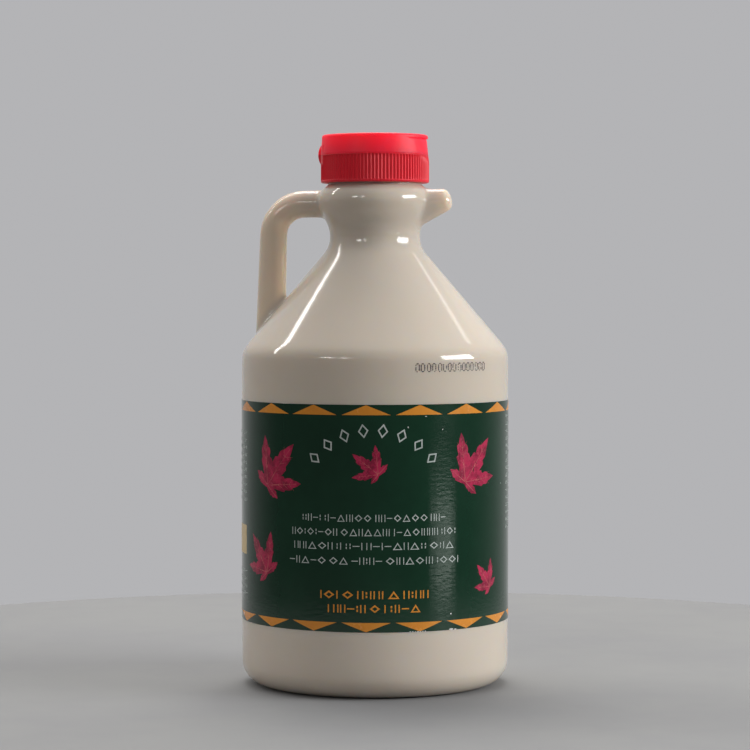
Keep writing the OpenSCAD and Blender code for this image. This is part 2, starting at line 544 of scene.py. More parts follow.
JUG_PLASTIC = BlownFinish(
    name="warm beige blown plastic", colour=(0.605, 0.53, 0.445), stray=(0.625, 0.55, 0.47),
    mottle_scale=14.0, mottle=0.6, gloss=(0.085, 0.125), wave_scale=22.0, wave=3e-5,
    grain_scale=700.0, grain=5e-7, subsurface=0.40, subsurface_depth=(0.0075, 0.0042, 0.0020),
)
LABEL_GREEN = FilmFinish(
    name="dark green printed film", colour=(0.0056, 0.0300, 0.0155), stray=(0.0075, 0.0380, 0.0197),
    mottle_scale=30.0, mottle=0.7, gloss=(0.11, 0.15), wave_scale=70.0, wave=2.5e-5,
    grain_scale=1400.0, grain=2e-6,
)
GOLD_INK = Finish(
    name="ochre gold ink", colour=(0.69, 0.262, 0.031), stray=(0.62, 0.228, 0.026),
    mottle_scale=120.0, mottle=0.8, gloss=(0.20, 0.28), wave_scale=90.0, wave=4e-5,
    grain_scale=1400.0, grain=3e-6,
)
LEAF_INK = Finish(
    name="crimson leaf ink", colour=(0.45, 0.022, 0.076), stray=(0.18, 0.009, 0.032),
    mottle_scale=260.0, mottle=0.9, gloss=(0.20, 0.28), wave_scale=90.0, wave=4e-5,
    grain_scale=1400.0, grain=3e-6,
)
VEIN_INK = Finish(
    name="pale leaf vein ink", colour=(0.52, 0.13, 0.13), stray=(0.38, 0.05, 0.08),
    mottle_scale=200.0, mottle=1.0, gloss=(0.20, 0.28),
)
BLOTCH_INK = Finish(
    name="dark leaf blotch ink", colour=(0.07, 0.005, 0.016), stray=(0.13, 0.007, 0.025),
    mottle_scale=400.0, mottle=1.0, gloss=(0.20, 0.28),
)
PALE_INK = Finish(
    name="pale grey ink", colour=(0.50, 0.54, 0.52), stray=(0.38, 0.43, 0.41),
    mottle_scale=150.0, mottle=0.9, gloss=(0.20, 0.28),
)
CREAM_INK = Finish(
    name="cream ink", colour=(0.62, 0.46, 0.22), stray=(0.55, 0.40, 0.18),
    mottle_scale=90.0, mottle=0.8, gloss=(0.30, 0.42),
)
BARE_PAPER = Finish(
    name="bare white label core", colour=(0.78, 0.78, 0.76), stray=(0.66, 0.67, 0.65),
    mottle_scale=600.0, mottle=1.0, gloss=(0.6, 0.75),
)
CODE_INK = Finish(
    name="charcoal jetted ink", colour=(0.040, 0.036, 0.042), stray=(0.11, 0.10, 0.10),
    mottle_scale=420.0, mottle=0.9, gloss=(0.35, 0.5),
)
SKIRT_PLASTIC = Finish(
    name="red moulded plastic", colour=(0.78, 0.016, 0.034), stray=(0.72, 0.013, 0.028),
    mottle_scale=60.0, mottle=0.5, gloss=(0.38, 0.46), wave_scale=160.0, wave=2e-5,
    grain_scale=2200.0, grain=2.5e-6, subsurface=0.08, subsurface_depth=(0.002, 0.0005, 0.0004), specular=0.3,
)
# Painted light: the lid is a lighter copy of the skirt's red and glows faintly, for the overhead light that
# the same plastic catches and lets through.
LID_PLASTIC = Finish(
    name="red lid plastic with painted glow", colour=(1.0, 0.017, 0.050), stray=(0.97, 0.014, 0.042),
    mottle_scale=50.0, mottle=0.5, gloss=(0.44, 0.52), wave_scale=130.0, wave=2e-5,
    grain_scale=1800.0, grain=3e-6, subsurface=1.0, subsurface_depth=(0.008, 0.0008, 0.0011),
    specular=0.28, glow=0.10,
)
FLOOR_FINISH = Finish(
    name="pale floor", colour=(0.265, 0.265, 0.265), stray=(0.25, 0.25, 0.255),
    mottle_scale=8.0, gloss=(0.85, 0.95), specular=0.1,
)


class Slot(Enum):
    """The record's material slots."""

    JUG = "jug_plastic"
    LABEL = "label_print"
    CLOSURE = "closure_plastic"


class Workshop:
    """Turns finished meshes into pieces of the object, and reports them."""

    def __init__(self) -> None:
        """Starts with no material made."""
        self.groups = EffectGroups()
        self._materials: dict[str, bpy.types.Material] = {}

    def material(self, finish: Finish) -> bpy.types.Material:
        """Gives the material of a finish.

        Args:
            finish: The finish.

        Returns:
            Its material, made when it is first asked for.
        """
        if finish.name not in self._materials:
            self._materials[finish.name] = finish.material(self.groups)
        return self._materials[finish.name]

    def piece(
        self, name: str, bm: BMesh, finish: Finish,
        levels: int = 0, sharp: float = 35.0, stands_for: Iterable[str] = (),
    ) -> bpy.types.Object:
        """Makes one piece of the object.

        Args:
            name: The piece's name.
            bm: Its mesh in the row frame, which is freed.
            finish: What it is finished in.
            levels: Levels of subdivision.
            sharp: Angle in degrees above which an edge is shaded sharp.
            stands_for: The CAD nodes that it replaces.

        Returns:
            The new object.
        """
        mesh = bpy.data.meshes.new(name)
        for face in bm.faces:
            face.smooth = True
        bm.to_mesh(mesh)
        bm.free()
        mesh.materials.append(self.material(finish))
        if not levels:
            mesh.set_sharp_from_angle(angle=math.radians(sharp))
        item = bpy.data.objects.new(name, mesh)
        bpy.context.scene.collection.objects.link(item)
        if levels:
            rounder = item.modifiers.new("rounding", "SUBSURF")
            rounder.levels = levels
            rounder.render_levels = levels
        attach(item, ROOT)
        if stands_for:
            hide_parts(*stands_for)
        log.info("%s: %d faces before subdivision, %s", name, len(mesh.polygons), finish.name)
        return item


# ---------------------------------------------------------------- the bottle


@dataclass(frozen=True)
class TubeRoot:
    """Where a round tube grows out of the bottle's side, and the fillet that it grows through."""

    base: Vector
    axis: Vector
    top: Vector
    radius: float
    narrowing: float = 0.0
    spread_mm: tuple[float, float] = (1.6, 0.0)
    climb_mm: tuple[float, float] = (1.9, 0.0)

    def spoke(self, angle: float) -> Vector:
        """The direction across the tube at an angle from its top side."""
        return math.cos(angle) * self.top + math.sin(angle) * ASIDE

    def line(self, angle: float, spread: float) -> tuple[Vector, Vector]:
        """A line along the tube's side.

        Args:
            angle: Angle round the tube from its top side.
            spread: Distance outside the tube's skin.

        Returns:
            A point inside the bottle and the direction out of it.
        """
        spoke = self.spoke(angle)
        out = math.cos(self.narrowing) * self.axis - math.sin(self.narrowing) * spoke
        return self.base + (self.radius + spread) * spoke, out

    def spread(self, angle: float) -> float:
        """How far the fillet spreads over the bottle at an angle."""
        return (self.spread_mm[0] + self.spread_mm[1] * math.cos(angle)) * MM

    def climb(self, angle: float) -> float:
        """How far the fillet climbs along the tube at an angle."""
        return (self.climb_mm[0] + self.climb_mm[1] * math.cos(angle)) * MM


@dataclass
class Bottle:
    """The blown bottle with its loop handle and pouring stub, as one skin."""

    body_r: float
    neck_top: float
    shoulder: float = 125 * MM
    waist_r: float = 16.85 * MM
    waist_low: float = 163.95 * MM
    waist_high: float = 170.85 * MM
    collar_r: float = 21.1 * MM
    collar_low: float = 178.2 * MM
    collar_high: float = 185.1 * MM
    neck_r: float = 17.6 * MM
    crown: float = 186.9 * MM
    base_ring: tuple[float, float] = (36 * MM, 41 * MM)
    push_up: float = 2 * MM
    handle_r: float = 5.1 * MM
    foot_r: float = 5.65 * MM
    handle_z: float = 180 * MM
    elbow_r: float = 11.9 * MM
    elbow_x: float = 39.2 * MM
    foot_x: float = 40.7 * MM
    foot_z: float = 122 * MM
    stub_tip_r: float = 3.7 * MM
    stub_round: float = 3.3 * MM
    stub_x: float = 29.0 * MM
    stub_top: float = 185.4 * MM
    stub_taper: float = math.radians(14)
    stub_len: float = 15.4 * MM
    base_round: float = 1.2 * MM
    shoulder_round: float = 9 * MM
    waist_rounds: Span = (8.9 * MM, 11.4 * MM)
    collar_rounds: Span = (8 * MM, 5.6 * MM)
    crown_round: float = 0.3 * MM
    top_round: float = 0.6 * MM
    foot_gap: Span = (127.6 * MM, 145.6 * MM)
    collar_gap: Span = (173.5 * MM, 186.5 * MM)
    evened: float = 15 * MM
    evenings: int = 5
    elbow_steps: int = 9
    leg_steps: int = 8
    segments: int = 64
    tube_segments: int = 24
    _side: list[Vector] = field(default_factory=list)

    def outline(self) -> list[Vector]:
        """Draws the bottle's outline.

        Returns:
            Points (radius, height) from the middle of its base to the middle of its neck's top.
        """
        ring_in, ring_out = self.base_ring
        body, neck, top = self.body_r, self.neck_r, self.neck_top
        corners = [
            Corner(0, self.push_up, cuts=3),
            Corner(ring_in - self.push_up, self.push_up, self.base_round, 2),
            Corner(ring_in, 0, self.base_round, 2, 3),
            Corner(body, 0, body - ring_out, 6, 12),
            Corner(body, self.shoulder, self.shoulder_round, 3, 15),
            Corner(self.waist_r, self.waist_low, self.waist_rounds[0], 3),
            Corner(self.waist_r, self.waist_high, self.waist_rounds[1], 3),
            Corner(self.collar_r, self.collar_low, self.collar_rounds[0]),
            Corner(self.collar_r, self.collar_high, self.collar_rounds[1], 3),
            Corner(neck, self.crown, self.crown_round, 2, 3),
            Corner(neck, top, self.top_round, 2, 3),
            Corner(0, top),
        ]
        return rounded(corners)

    def surface_radius(self, z: float) -> float:
        """Measures the widened outline.

        Args:
            z: A height.

        Returns:
            The outline's radius there.
        """
        side = self._side
        for low, high in zip(side, side[1:]):
            if low.y <= z <= high.y:
                share = (z - low.y) / max(high.y - low.y, WELD)
                return low.x + (high.x - low.x) * share
        return side[-1].x

    def leave(self, start: Vector, out: Vector, reach: float = 80 * MM) -> Vector:
        """Finds where a line from inside the bottle passes through its side.

        Args:
            start: A point inside.
            out: The line's direction.
            reach: A distance at which the line is outside.

        Returns:
            The point on the side.
        """
        low, high = 0.0, reach
        for _ in range(40):
            middle = (low + high) / 2
            point = start + out * middle
            if point.xy.length < self.surface_radius(point.z):
                low = middle
            else:
                high = middle
        return start + out * low

    def root_rings(self, root: TubeRoot) -> list[Ring]:
        """Draws the fillet round a tube.

        Args:
            root: The tube's root.

        Returns:
            Its rings, from the bottle's side out to the tube's skin.
        """
        wide = swell(self.tube_segments) - 1
        rings: list[Ring] = [[], [], [], []]
        for k in range(self.tube_segments):
            angle = TAU * k / self.tube_segments
            edge = self.leave(*root.line(angle, root.spread(angle)))
            start, out = root.line(angle, root.radius * wide)
            knee = self.leave(start, out)
            end = knee + out * root.climb(angle)
            for ring, t in zip(rings, (0.0, 0.3, 0.65, 1.0)):
                ring.append((1 - t) ** 2 * edge + 2 * t * (1 - t) * knee + t * t * end)
        return rings

    def open_side(self, bm: BMesh, root: TubeRoot, columns: int, gap: Span) -> list[BMVert]:
        """Opens the bottle's side for a tube, and draws the opening's edge into a ring.

        Args:
            bm: The bottle's mesh.
            root: The tube's root.
            columns: Number of columns of faces to open.
            gap: The heights between which they are opened.

        Returns:
            The vertices of the ring, from the tube's top side round.
        """
        side = math.copysign(1.0, root.base.x)
        width = TAU / self.segments * columns / 2
        gone = []
        for face in bm.faces:
            middle = face.calc_center_median()
            off = math.atan2(middle.y, side * middle.x)
            if abs(off) < width and gap[0] < middle.z < gap[1]:
                gone.append(face)
        bmesh.ops.delete(bm, geom=gone, context="FACES")
        rim = {v for edge in bm.edges if edge.is_boundary for v in edge.verts}
        count = self.tube_segments
        if len(rim) != count:
            raise ValueError(f"the opening has {len(rim)} sides and the tube {count}")

        def turn(vert: BMVert) -> float:
            """The angle of a vertex round the tube."""
            across = vert.co - root.base
            return math.atan2(across.y, across.dot(root.top)) % TAU

        ring = sorted(rim, key=lambda vert: (turn(vert) + 0.01) % TAU)
        goal = self.root_rings(root)[0]
        for vert, place in zip(ring, goal):
            vert.co = place
        self._relax(bm, set(ring), sum(goal, Vector()) / count)
        return ring

    def _relax(self, bm: BMesh, held: set[BMVert], centre: Vector) -> None:
        """Evens out the bottle's mesh round an opening without leaving its surface.

        Args:
            bm: The bottle's mesh.
            held: Vertices that stay.
            centre: The middle of the opening.
        """
        near = [
            vert for vert in bm.verts
            if vert not in held and (vert.co - centre).length < self.evened and vert.co.z < self.crown
        ]
        for _ in range(self.evenings):
            bmesh.ops.smooth_vert(
                bm, verts=near, factor=0.5, use_axis_x=True, use_axis_y=True, use_axis_z=True,
            )
            for vert in near:
                flat = vert.co.xy * (self.surface_radius(vert.co.z) / vert.co.xy.length)
                vert.co = Vector((flat.x, flat.y, vert.co.z))

    @staticmethod
    def grow(bm: BMesh, ring: list[BMVert], places: Ring) -> list[BMVert]:
        """Extrudes a ring of edges and moves the new ring to its place.

        Args:
            bm: The bottle's mesh.
            ring: The vertices of the open ring, in order.
            places: Where the new ring's vertices go.

        Returns:
            The new ring, in the same order.
        """
        edges: list[BMEdge] = [bm.edges.get(pair) for pair in zip(ring, ring[1:] + ring[:1])]
        made = bmesh.ops.extrude_edge_only(bm, edges=edges)
        fresh = {item for item in made["geom"] if isinstance(item, BMVert)}
        grown = [next(e.other_vert(v) for e in v.link_edges if e.other_vert(v) in fresh) for v in ring]
        for vert, place in zip(grown, places):
            vert.co = place
        return grown

    def cross_section(self, centre: Vector, top: Vector, radius: float) -> Ring:
        """A ring across a tube.

        Args:
            centre: The middle of the ring.
            top: The direction of its first point.
            radius: The tube's true radius.

        Returns:
            The ring's points, widened for subdivision.
        """
        wide = radius * swell(self.tube_segments)
        angles = [TAU * k / self.tube_segments for k in range(self.tube_segments)]
        return [centre + wide * (math.cos(a) * top + math.sin(a) * ASIDE) for a in angles]

    def handle_roots(self) -> tuple[TubeRoot, TubeRoot, float]:
        """Places the two ends of the handle.

        Returns:
            Its root in the collar, its root in the shoulder, and the leg's lean.
        """
        elbow_z = self.handle_z - self.elbow_r
        lean = math.atan((self.foot_x - self.elbow_x) / (elbow_z - self.foot_z))
        collar = TubeRoot(
            base=Vector((-self.waist_r / 2, 0, self.handle_z)), axis=Vector((-1, 0, 0)), top=UP,
            radius=self.handle_r, spread_mm=(1.5, -0.3), climb_mm=(2.0, -0.4),
        )
        leg_up = Vector((math.sin(lean), 0, math.cos(lean)))
        leg_out = Vector((-math.cos(lean), 0, math.sin(lean)))
        length = (elbow_z - self.foot_z) / math.cos(lean)
        shoulder = TubeRoot(
            base=Vector((-self.foot_x, 0, self.foot_z)), axis=leg_up, top=leg_out, radius=self.foot_r,
            narrowing=math.atan((self.foot_r - self.handle_r) / length),
            spread_mm=(1.6, -0.6), climb_mm=(2.6, -1.0),
        )
        return collar, shoulder, lean

    def add_handle(self, bm: BMesh) -> None:
        """Grows the handle out of the collar, round its elbow and down into the shoulder.

        Args:
            bm: The bottle's mesh.
        """
        collar, shoulder, lean = self.handle_roots()
        foot_rim = self.open_side(bm, shoulder, 4, self.foot_gap)
        foot_rings = self.root_rings(shoulder)
        free = [edge for edge in bm.edges if edge.is_boundary]
        filler = bmesh.ops.edgeloop_fill(bm, edges=free)["faces"]
        ring = self.open_side(bm, collar, 6, self.collar_gap)
        bmesh.ops.delete(bm, geom=filler, context="FACES_ONLY")
        collar_rings = self.root_rings(collar)
        for places in collar_rings[1:]:
            ring = self.grow(bm, ring, places)
        centre = Vector((-(self.elbow_x - self.elbow_r), 0, self.handle_z - self.elbow_r))
        stations = []
        for k in range(self.elbow_steps + 1):
            angle = (math.pi / 2 - lean) * k / self.elbow_steps
            top = Vector((-math.sin(angle), 0, math.cos(angle)))
            stations.append(self.cross_section(centre + self.elbow_r * top, top, self.handle_r))
        ring = self.grow(bm, ring, [a.lerp(b, 0.5) for a, b in zip(collar_rings[-1], stations[0])])
        for places in stations:
            ring = self.grow(bm, ring, places)
        for k in range(1, self.leg_steps + 1):
            share = k / self.leg_steps
            ring = self.grow(bm, ring, [a.lerp(b, share) for a, b in zip(stations[-1], foot_rings[-1])])
        for places in reversed(foot_rings[:-1]):
            ring = self.grow(bm, ring, places)
        bmesh.ops.weld_verts(bm, targetmap=dict(zip(ring, foot_rim)))

    def add_stub(self, bm: BMesh) -> None:
        """Grows the pouring stub out of the collar and rounds its tip.

        Args:
            bm: The bottle's mesh.
        """
        taper = self.stub_taper
        axis = Vector((math.cos(taper), 0, math.sin(taper)))
        top = Vector((-math.sin(taper), 0, math.cos(taper)))
        tip = Vector((self.stub_x, 0, self.stub_top - self.stub_tip_r * math.cos(taper)))
        root_r = self.stub_tip_r + self.stub_len * math.tan(taper)
        root = TubeRoot(
            base=tip - axis * self.stub_len, axis=axis, top=top, narrowing=taper, radius=root_r,
            spread_mm=(1.3, -0.3), climb_mm=(1.5, 0.0),
        )
        ring = self.open_side(bm, root, 6, self.collar_gap)
        rings = self.root_rings(root)
        for places in rings[1:]:
            ring = self.grow(bm, ring, places)
        nose = rounded([
            Corner(root_r, self.stub_len),
            Corner(self.stub_tip_r, 0, self.stub_round, 4),
            Corner(0, 0),
        ])[1:-1]
        sections = [self.cross_section(tip - axis * point.y, top, point.x) for point in nose]
        ring = self.grow(bm, ring, [a.lerp(b, 0.5) for a, b in zip(rings[-1], sections[0])])
        for places in sections:
            ring = self.grow(bm, ring, places)
        bmesh.ops.pointmerge(bm, verts=ring, merge_co=tip)

    def build(self, shop: Workshop) -> bpy.types.Object:
        """Builds the bottle and dresses it.

        Args:
            shop: The workshop that makes it a piece.

        Returns:
            The bottle.
        """
        points = self.outline()
        wide = swell(self.segments)
        bm = turned([Vector((p.x * wide, p.y)) for p in points], self.segments)
        lowest = min(range(len(points)), key=lambda i: (points[i].y, -points[i].x))
        self._side = [Vector((p.x * wide, p.y)) for p in points[lowest:] if p.x > self.neck_r / 2]
        self.add_stub(bm)
        self.add_handle(bm)
        bmesh.ops.recalc_face_normals(bm, faces=bm.faces)
        return shop.piece("blown_bottle", bm, JUG_PLASTIC, levels=2, stands_for=["jug"])


# ---------------------------------------------------------------- the closure


@dataclass
class Closure:
    """The ribbed skirt and the flip lid, with the hinge's back and the thumb recess."""

    skirt_z: float
    seam_z: float
    top_z: float
    radius: float = 20.3 * MM
    socket_r: float = 17.8 * MM
    deck: float = 2 * MM
    ribs: int = 96
    rib_depth: float = 0.42 * MM
    lower_band: float = 0.9 * MM
    upper_band: float = 0.4 * MM
    draft: float = 0.45 * MM
    lip: float = 1.5 * MM
    recess_edge: float = 0.16 * MM
    recess_depth: float = 1.05 * MM
    notch_depth: float = 0.35 * MM
    notch_h: float = 0.5 * MM
    recess_run: float = 2.2 * MM
    recess_offset: float = 4.5 * MM
    hinge_h: float = 7.2 * MM
    hinge_w: float = 9 * MM
    hinge_proud: float = 1.0 * MM
    hinge_fade: float = 0.6 * MM
    hinge_reach: float = 0.5
    plain_back: Span = (0.26, 0.30)
    rib_low: Span = (-0.15 * MM, 0.25 * MM)
    rib_high: Span = (-0.15 * MM, 0.1 * MM)
    rib_power: float = 1.8
    skirt_steps: int = 8
    lid_steps: int = 384
    dish: float = 0.25 * MM
    gate: float = 0.4 * MM
    slack: float = 0.05 * MM

    def recess(self, angle: float, z: float) -> float:
        """Measures the thumb recess.

        Args:
            angle: The angle round the closure from its front.
            z: The height.

        Returns:
            The radius of the recess's surface, or a large one where it doesn't reach.
        """
        low, high = self.seam_z - self.recess_run, self.top_z - self.lip
        if not low < z < high or abs(angle) > math.pi / 2:
            return math.inf
        depth = self.recess_edge + (self.recess_depth - self.recess_edge) * (z - low) / (high - low)
        depth += self.notch_depth * smoothstep(z, high - self.notch_h, high)
        reach = self.radius + self.recess_offset - depth
        back = self.recess_offset
        return -back * math.cos(angle) + math.sqrt(reach**2 - (back * math.sin(angle)) ** 2)

    def hinge(self, angle: float, z: float) -> float:
        """Measures the hinge's round back.

        Args:
            angle: The angle round the closure from its front.
            z: The height.

        Returns:
            The radius of the hinge's surface, or zero where there is none.
        """
        off = math.pi - abs(angle)
        half_h, half_w = self.hinge_h / 2, self.hinge_w / 2
        if abs(z - self.seam_z) >= half_h or off > self.hinge_reach:
            return 0.0
        bow = (half_h**2 + self.hinge_proud**2) / (2 * self.hinge_proud)
        stand = math.sqrt(bow**2 - (z - self.seam_z) ** 2) - bow + self.hinge_proud
        fade = 1 - smoothstep(abs(self.radius * math.sin(off)), half_w - self.hinge_fade, half_w)
        return self.radius + stand * fade

    def shape(self, bm: BMesh, inner: float, groove: Callable[[float, float], float]) -> None:
        """Moves the outer wall's vertices in for grooves and the recess, and out for the hinge.

        Args:
            bm: A turned mesh.
            inner: Radius inside which nothing moves.
            groove: How far the wall is cut in at an angle and a height.
        """
        for vert in bm.verts:
            flat = vert.co.xy
            if flat.length < inner:
                continue
            angle = math.atan2(flat.y, flat.x)
            radius = flat.length - groove(angle, vert.co.z)
            radius = min(max(radius, self.hinge(angle, vert.co.z)), self.recess(angle, vert.co.z))
            flat = flat.normalized() * radius
            vert.co = Vector((flat.x, flat.y, vert.co.z))

    def rib_groove(self, angle: float, z: float) -> float:
        """Measures the grooves between the ribs, which fade into the bands and at the hinge.

        Args:
            angle: The angle round the closure from its front.
            z: The height.

        Returns:
            How deep the groove is there.
        """
        low, high = self.skirt_z + self.lower_band, self.seam_z - self.upper_band
        rise = smoothstep(z, low + self.rib_low[0], low + self.rib_low[1])
        fall = 1 - smoothstep(z, high + self.rib_high[0], high + self.rib_high[1])
        crest = 0.5 + 0.5 * math.cos(angle * self.ribs)
        clear = smoothstep(math.pi - abs(angle), *self.plain_back)
        return self.rib_depth * (rise * fall) * (1 - crest**self.rib_power) * clear

    def build_skirt(self, shop: Workshop) -> bpy.types.Object:
        """Builds the ribbed skirt.

        Args:
            shop: The workshop that makes it a piece.

        Returns:
            The skirt.
        """
        points = rounded([
            Corner(self.socket_r, self.seam_z - self.deck),
            Corner(self.socket_r, self.skirt_z, 0.2 * MM, 2, 2),
            Corner(self.radius, self.skirt_z, 0.7 * MM, 4),
            Corner(self.radius, self.skirt_z + self.lower_band - 0.15 * MM, cuts=4),
            Corner(self.radius, self.skirt_z + self.lower_band + 0.3 * MM, cuts=12),
            Corner(self.radius, self.seam_z - self.upper_band - 0.2 * MM, cuts=4),
            Corner(self.radius, self.seam_z, 0.15 * MM, 2, 3),
            Corner(self.socket_r, self.seam_z),
        ])
        points = [Vector((0, self.seam_z - self.deck))] + points + [Vector((0, self.seam_z))]
        bm = turned(points, self.ribs * self.skirt_steps)
        self.shape(bm, self.radius - 0.65 * MM, self.rib_groove)
        bmesh.ops.recalc_face_normals(bm, faces=bm.faces)
        return shop.piece("closure_skirt", bm, SKIRT_PLASTIC, sharp=50, stands_for=["cap"])

    def build_lid(self, shop: Workshop) -> bpy.types.Object:
        """Builds the flip lid.

        Args:
            shop: The workshop that makes it a piece.

        Returns:
            The lid.
        """
        low_r = self.radius - self.slack
        top_r = low_r - self.draft
        ledge = self.top_z - self.lip
        ledge_r = low_r - self.draft * (ledge - self.seam_z) / (self.top_z - self.seam_z)
        points = rounded([
            Corner(0, self.seam_z, cuts=3),
            Corner(low_r - 0.8 * MM, self.seam_z),
            Corner(low_r - 0.22 * MM, self.seam_z),
            Corner(low_r, self.seam_z + 0.2 * MM, 0.1 * MM, 2, 20),
            Corner(ledge_r, ledge - 0.01 * MM),
            Corner(ledge_r, ledge + 0.1 * MM, cuts=3),
            Corner(top_r, self.top_z - self.slack, 0.85 * MM, 6, 2),
            Corner(top_r - 2.4 * MM, self.top_z - self.slack, 0.3 * MM, 2),
            Corner(top_r - 2.8 * MM, self.top_z - self.dish, 0.3 * MM, 2, 4),
            Corner(1.4 * MM, self.top_z - self.dish),
            Corner(1.1 * MM, self.top_z - self.gate),
            Corner(0, self.top_z - self.gate),
        ])
        bm = turned(points, self.lid_steps)
        self.shape(bm, self.radius - 1.0 * MM, lambda angle, z: 0.0)
        bmesh.ops.recalc_face_normals(bm, faces=bm.faces)
        return shop.piece("flip_lid", bm, LID_PLASTIC, sharp=50, stands_for=["lid"])


# ---------------------------------------------------------------- the label


@dataclass(frozen=True)
class Print:
    """A layer of ink: its finish, and how far it stands out of the wall and reaches into it."""

    finish: Finish
    high: float
    low: float = -0.02 * MM


class Ink(Enum):
    """The label's and the bottle's printed layers."""

    FILM = Print(LABEL_GREEN, 0.012 * MM)
    GOLD = Print(GOLD_INK, 0.025 * MM)
    LEAF = Print(LEAF_INK, 0.025 * MM)
    VEIN = Print(VEIN_INK, 0.035 * MM)
    BLOTCH = Print(BLOTCH_INK, 0.032 * MM)
    PALE = Print(PALE_INK, 0.025 * MM)
    CREAM = Print(CREAM_INK, 0.02 * MM)
    BARE = Print(BARE_PAPER, 0.04 * MM)
    CODE = Print(CODE_INK, 0.03 * MM, low=-0.04 * MM)


class Mark(Enum):
    """The plain marks that stand in a line of print: the share of the line's height that each is wide."""

    BAR = 0.14
    PAIR = 0.36
    DASH = 0.48
    LOZENGE = 0.66
    PEAK = 0.68
    STACK = 0.17


@dataclass
class InkSheet:
    """Flat ink shapes of one layer, which are then wrapped round the bottle.

    Shapes are drawn in millimetres: across is the distance along the wall from
    the label's front middle, to the right as one looks at it, and up is the
    height over the base. The radius is the wall's, in metres, and the heading is
    the direction that the front middle faces.
    """

    radius: float
    heading: float
    stack_rise: float = 0.22
    stack_h: float = 0.3
    stack_wide: float = 1.2
    outline_wide: float = 2.9
    bend: float = math.radians(2.5)
    bm: BMesh = field(default_factory=bmesh.new)

    def shape(self, outline: Sequence[tuple[float, float]]) -> None:
        """Draws one shape from its outline, in order."""
        verts = [self.bm.verts.new((across * MM, 0, up * MM)) for across, up in outline]
        self.bm.faces.new(verts)

    def bar(self, across: float, up: float, width: float, height: float) -> None:
        """Draws an upright rectangle from its middle and size."""
        w, h = width / 2, height / 2
        self.shape([(across - w, up - h), (across + w, up - h), (across + w, up + h), (across - w, up + h)])

    def loop(self, corners: Sequence[Vector], centre: Vector, share: float) -> None:
        """Draws a closed band between an outline and the same outline drawn in toward a centre.

        Args:
            corners: The outline's corners in order.
            centre: What the inner outline is drawn toward.
            share: How large the inner outline is, as a share of the outer.
        """
        for a, b in zip(corners, [*corners[1:], corners[0]]):
            inner = [centre + (point - centre) * share for point in (b, a)]
            self.shape([tuple(point) for point in (a, b, *inner)])

    def mark(self, kind: Mark, left: float, up: float, height: float, stretch: float, stroke: float) -> float:
        """Draws one plain mark of a line of print.

        Args:
            kind: Which mark.
            left: Where it starts.
            up: The height of its middle.
            height: How tall it is.
            stretch: How much wider than usual it is.
            stroke: How thick its strokes are.

        Returns:
            Where it ends.
        """
        width = kind.value * height * stretch
        right, middle, half = left + width, left + width / 2, height / 2
        if kind is Mark.BAR:
            self.bar(middle, up, stroke, height)
        elif kind is Mark.STACK:
            for rise in (height * self.stack_rise, -height * self.stack_rise):
                self.bar(middle, up + rise, stroke * self.stack_wide, height * self.stack_h)
        elif kind is Mark.PAIR:
            for across in (left + stroke / 2, right - stroke / 2):
                self.bar(across, up, stroke, height)
        elif kind is Mark.DASH:
            self.bar(middle, up, width, stroke)
        else:
            points = [(middle, up + half), (right, up), (middle, up - half), (left, up)]
            if kind is Mark.PEAK:
                points = [(middle, up + half), (right, up - half), (left, up - half)]
            corners = [Vector(point) for point in points]
            centre = sum(corners, Vector((0, 0))) / len(corners)
            self.loop(corners, centre, 1 - self.outline_wide * stroke / height)
        return right

    def disc(self, across: float, up: float, radius: float, sides: int = 8) -> None:
        """Draws a small round dot."""
        turns = [TAU * k / sides for k in range(sides)]
        self.shape([(across + radius * math.cos(a), up + radius * math.sin(a)) for a in turns])

    def blob(
        self, rng: random.Random, middle: Span, half: Span, least: float, sides: int, foot: float = 0.0,
    ) -> None:
        """Draws a small ragged blob.

        Args:
            rng: Draws how far each corner reaches.
            middle: Its middle.
            half: Its greatest half width and half height.
            least: The shortest reach, as a share of the greatest.
            sides: How many corners it has.
            foot: The height below which it is cut off.
        """
        turns = [TAU * k / sides for k in range(sides)]
        reaches = [rng.uniform(least, 1.0) for _ in turns]
        self.shape([
            (middle[0] + half[0] * r * math.cos(a), max(middle[1] + half[1] * r * math.sin(a), foot))
            for a, r in zip(turns, reaches)
        ])

    @staticmethod
    def width(face: BMFace) -> float:
        """How wide a shape is across the wall."""
        across = [vert.co.x for vert in face.verts]
        return max(across) - min(across)

    def wrap(self, ink: Ink) -> BMesh:
        """Gives the shapes their thickness and wraps them round the wall.

        Args:
            ink: The layer that they are printed in.

        Returns:
            The closed, wrapped mesh.
        """
        bm, layer = self.bm, ink.value
        bmesh.ops.remove_doubles(bm, verts=bm.verts, dist=WELD)
        for face in bm.faces:
            face.normal_update()
            if face.normal.y > 0:
                face.normal_flip()
        pitch = self.radius * self.bend
        geometry: list[object] = [face for face in bm.faces if self.width(face) > pitch]
        geometry += list(dict.fromkeys(part for face in geometry for part in (*face.verts, *face.edges)))
        reach = max((abs(vert.co.x) for vert in bm.verts), default=0.0)
        count = int(reach / pitch)
        for k in range(-count, count + 1):
            cut = Vector((k * pitch + WELD, 0, 0))
            halves = bmesh.ops.bisect_plane(
                bm, geom=geometry, dist=WELD / 10, plane_co=cut, plane_no=(1, 0, 0),
            )
            geometry = halves["geom"]
        bmesh.ops.triangulate(bm, faces=[face for face in bm.faces if len(face.verts) > 4])
        made = bmesh.ops.extrude_face_region(bm, geom=list(bm.faces))
        raised = {item for item in made["geom"] if isinstance(item, BMVert)}
        for vert in bm.verts:
            vert.co.y = layer.low if vert in raised else layer.high
        for vert in bm.verts:
            turn = vert.co.x / self.radius + self.heading
            out = self.radius + vert.co.y
            vert.co = Vector((out * math.sin(turn), -out * math.cos(turn), vert.co.z))
        bmesh.ops.recalc_face_normals(bm, faces=bm.faces)
        return bm


